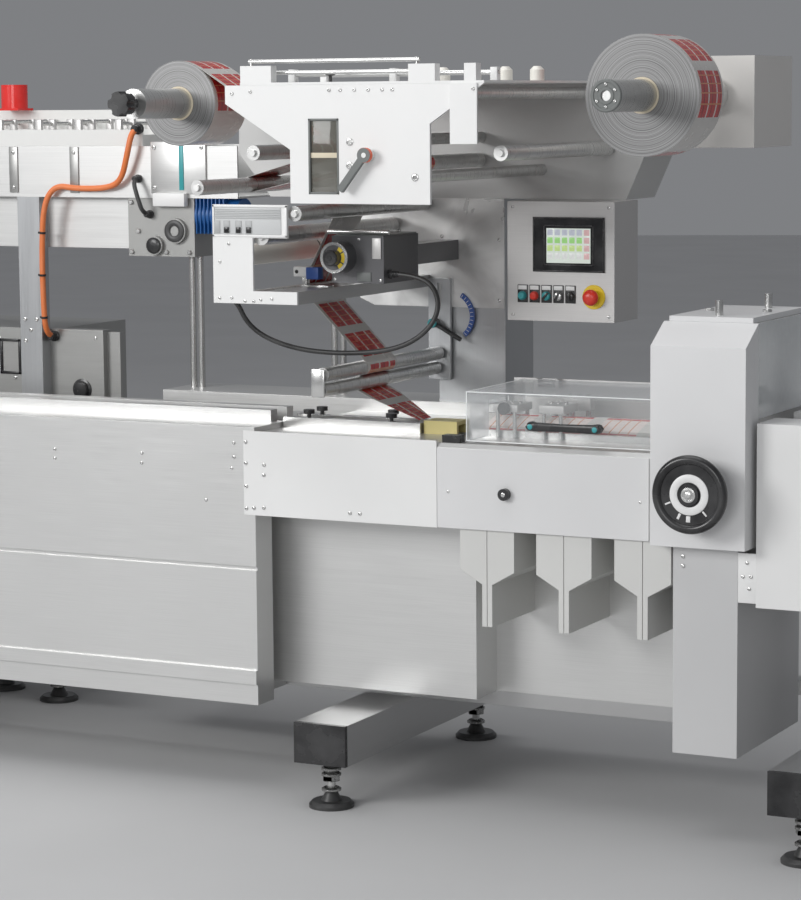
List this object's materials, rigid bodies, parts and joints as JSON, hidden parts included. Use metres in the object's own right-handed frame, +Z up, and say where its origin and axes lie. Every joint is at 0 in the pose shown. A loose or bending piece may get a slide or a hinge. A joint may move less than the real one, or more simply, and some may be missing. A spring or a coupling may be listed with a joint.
{
  "type": "biscuit packaging line",
  "caption": "Flow-wrapping line for biscuits: infeed lane, film reels over a printer, sealing bed under a clear guard, jaw tower and discharge belt.",
  "frame": {"origin": "on the floor under the middle of the line's outline", "axes": "+X the way the biscuits travel, +Y away from the operator, +Z up"},
  "size_m": [3.51, 1.1683, 1.844],
  "materials": {
    "infeed_steel": "brushed stainless sheet",
    "frame_steel": "brushed stainless tube",
    "cabinet_steel": "fine brushed stainless sheet",
    "white_paint": "satin white paint",
    "panel_white": "satin light paint",
    "tower_paint": "satin light grey paint",
    "housing_paint": "satin warm grey paint",
    "polished_plate": "swirl-polished stainless",
    "dark_metal": "satin dark grey paint",
    "grey_metal": "satin mid grey paint",
    "bare_metal": "turned steel",
    "aluminium": "anodised aluminium",
    "black_plastic": "glossy black plastic",
    "foot_rubber": "black rubber",
    "belt_rubber": "dark grey belt",
    "film_red": "red and white printed film",
    "reel_film": "dark edge of wound film",
    "roller_cream": "cream roller covering",
    "clear_guard": "clear acrylic",
    "screen_glass": "touch screen in a black frame",
    "button_mix": "red, yellow, green and black plastic",
    "folding_yellow": "brass coloured coating",
    "beacon_red": "red lamp lens",
    "motor_blue": "satin blue paint",
    "hose_black": "black hose",
    "cable_orange": "orange cable bundle",
    "lane_white": "white plastic lanes"
  },
  "bodies": {
    "machine": {"base_cabinet": "cabinet_steel", "base_frame": "frame_steel", "beacon": "beacon_red", "beam_end_caps": "black_plastic", "bed_body": "cabinet_steel", "bed_guides": "bare_metal", "black_knobs": "black_plastic", "column": "frame_steel", "column_plate": "polished_plate", "discharge_belt": "belt_rubber", "discharge_body": "panel_white", "drive_housings": "housing_paint", "end_box": "white_paint", "feeder_cabinet": "cabinet_steel", "feeder_cable": "cable_orange", "feeder_leg": "frame_steel", "feeder_motor": "motor_blue", "feeder_trough": "cabinet_steel", "film_tube": "film_red", "film_web": "film_red", "folding_box": "folding_yellow", "foot_pads": "foot_rubber", "foot_screws": "bare_metal", "front_carrier": "white_paint", "front_panel": "panel_white", "gear_hose": "hose_black", "gear_unit": "grey_metal", "guide_rollers": "aluminium", "infeed_body": "infeed_steel", "infeed_chain": "dark_metal", "infeed_rails": "infeed_steel", "lane_table": "lane_white", "main_beam": "white_paint", "operator_box": "cabinet_steel", "pair_bracket": "frame_steel", "panel_buttons": "button_mix", "post": "tower_paint", "print_head": "dark_metal", "print_roller": "roller_cream", "printer_bed": "frame_steel", "printer_hose": "hose_black", "printer_plate": "white_paint", "rear_upstand": "cabinet_steel", "sealing_door": "panel_white", "sealing_jaws": "bare_metal", "sealing_tower": "tower_paint", "support_tubes": "frame_steel", "top_deck": "white_paint", "touch_screen": "screen_glass", "tower_lid": "tower_paint", "tower_windows": "clear_guard"},
    "handwheel": {"handwheel": "black_plastic"},
    "guard": {"guard_cover": "clear_guard", "guard_handle": "black_plastic"},
    "clamp_lever": {"clamp_lever": "grey_metal"},
    "left_reel_body": {"left_reel": "reel_film", "left_reel_shaft": "aluminium"},
    "right_reel_body": {"right_reel": "reel_film", "right_reel_shaft": "aluminium"}
  },
  "joints": [
    {"name": "handwheel_turn", "type": "hinge", "parent": "machine", "child": "handwheel", "pos_m": [1.012, -0.515, 0.821], "axis": [0, 1, 0], "continuous": true},
    {"name": "guard_hinge", "type": "hinge", "parent": "machine", "child": "guard", "pos_m": [0.6445, -0.049, 1.006], "axis": [-1, 0, 0], "range_deg": [0, 80]},
    {"name": "clamp_turn", "type": "hinge", "parent": "machine", "child": "clamp_lever", "pos_m": [0.239, -0.571, 1.573], "axis": [0, 1, 0], "range_deg": [-60, 60]},
    {"name": "left_reel_turn", "type": "hinge", "parent": "machine", "child": "left_reel_body", "pos_m": [-0.428, -0.215, 1.694], "axis": [0, 1, 0], "continuous": true},
    {"name": "right_reel_turn", "type": "hinge", "parent": "machine", "child": "right_reel_body", "pos_m": [0.808, -0.215, 1.704], "axis": [0, 1, 0], "continuous": true}
  ]
}
